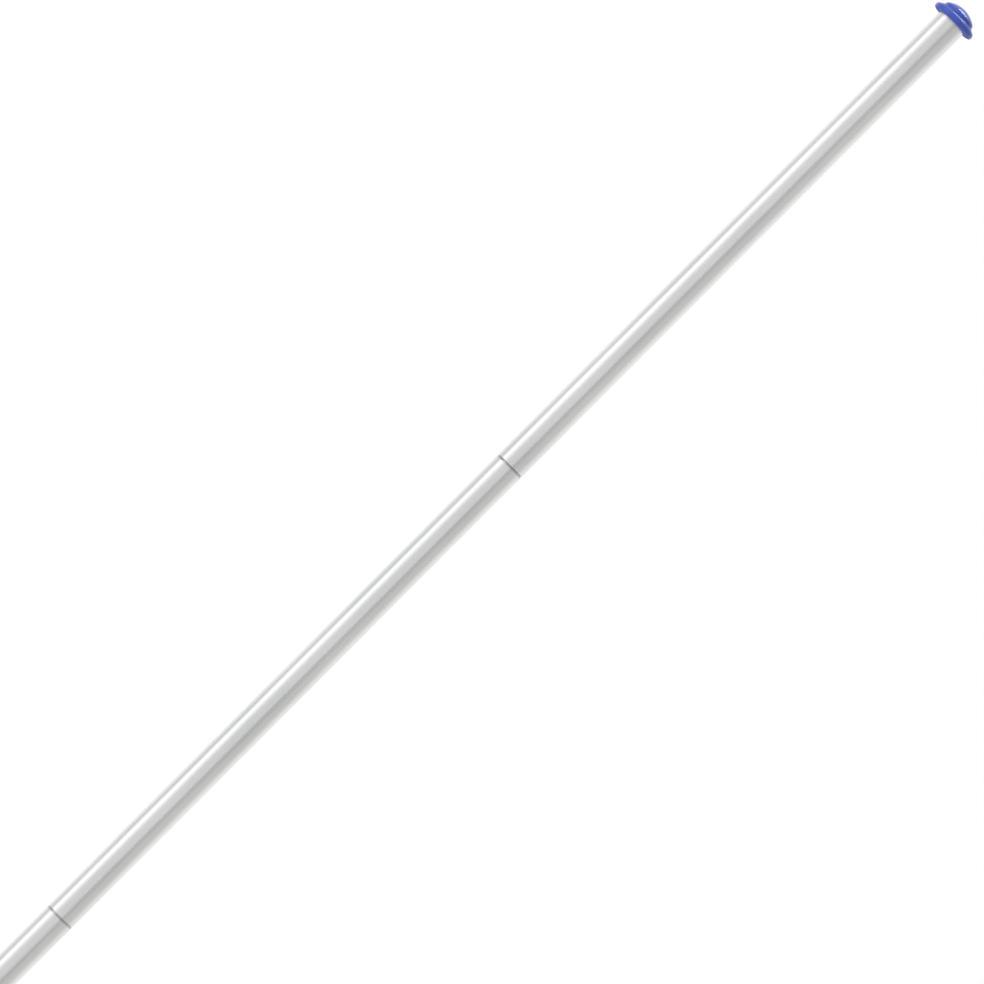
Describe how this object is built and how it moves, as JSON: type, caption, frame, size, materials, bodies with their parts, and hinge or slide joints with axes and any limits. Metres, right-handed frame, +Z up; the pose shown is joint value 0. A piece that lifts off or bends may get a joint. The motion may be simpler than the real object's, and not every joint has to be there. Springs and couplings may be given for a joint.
{
  "type": "flagpole",
  "caption": "Sectional aluminium flagpole with a ground sleeve, a moulded halyard cap, a horned cleat and a white halyard that is hung up in a hank with a snap hook on each end.",
  "frame": {"origin": "centre of the flat lower end of the ground sleeve and the first section, on the pole's axis", "axes": "+Z up along the pole, -Y towards the side that the cleat is on, +X to the right of someone who faces the cleat"},
  "size_m": [0.0986, 0.097, 5.955],
  "materials": {
    "bare_aluminium": "satin",
    "sleeve_green": "smooth, dark blue-green",
    "cap_blue": "glossy moulded",
    "cleat_grey": "satin grey",
    "rivet_metal": "polished",
    "rope_white": "braided, white",
    "hook_metal": "bright plated"
  },
  "bodies": {
    "pole": {"section_1": "bare_aluminium", "section_2": "bare_aluminium", "section_3": "bare_aluminium", "section_4": "bare_aluminium", "section_5": "bare_aluminium", "section_6": "bare_aluminium", "ground_sleeve": "sleeve_green", "truck_cap": "cap_blue", "cleat": "cleat_grey", "cleat_rivet_1": "rivet_metal", "cleat_rivet_2": "rivet_metal", "cleat_rivet_3": "rivet_metal", "rope_hank": "rope_white", "rope_tie": "rope_white", "rope_end_left": "rope_white", "rope_knot_left": "rope_white", "hook_frame_left": "hook_metal", "hook_pin_left": "hook_metal", "rope_end_right": "rope_white", "rope_knot_right": "rope_white", "hook_frame_right": "hook_metal", "hook_pin_right": "hook_metal"},
    "gate_left": {"hook_gate_left": "hook_metal"},
    "gate_right": {"hook_gate_right": "hook_metal"}
  },
  "joints": [
    {"name": "gate_hinge_left", "type": "hinge", "parent": "pole", "child": "gate_left", "pos_m": [-0.0292, -0.0419, 0.8004], "axis": [0, 1, 0], "range_deg": [0, 30], "stiffness_Nm_per_rad": 0.01, "springref_deg": -20.05},
    {"name": "gate_hinge_right", "type": "hinge", "parent": "pole", "child": "gate_right", "pos_m": [0.0388, -0.0419, 0.8004], "axis": [0, 1, 0], "range_deg": [0, 30], "stiffness_Nm_per_rad": 0.01, "springref_deg": -20.05}
  ]
}
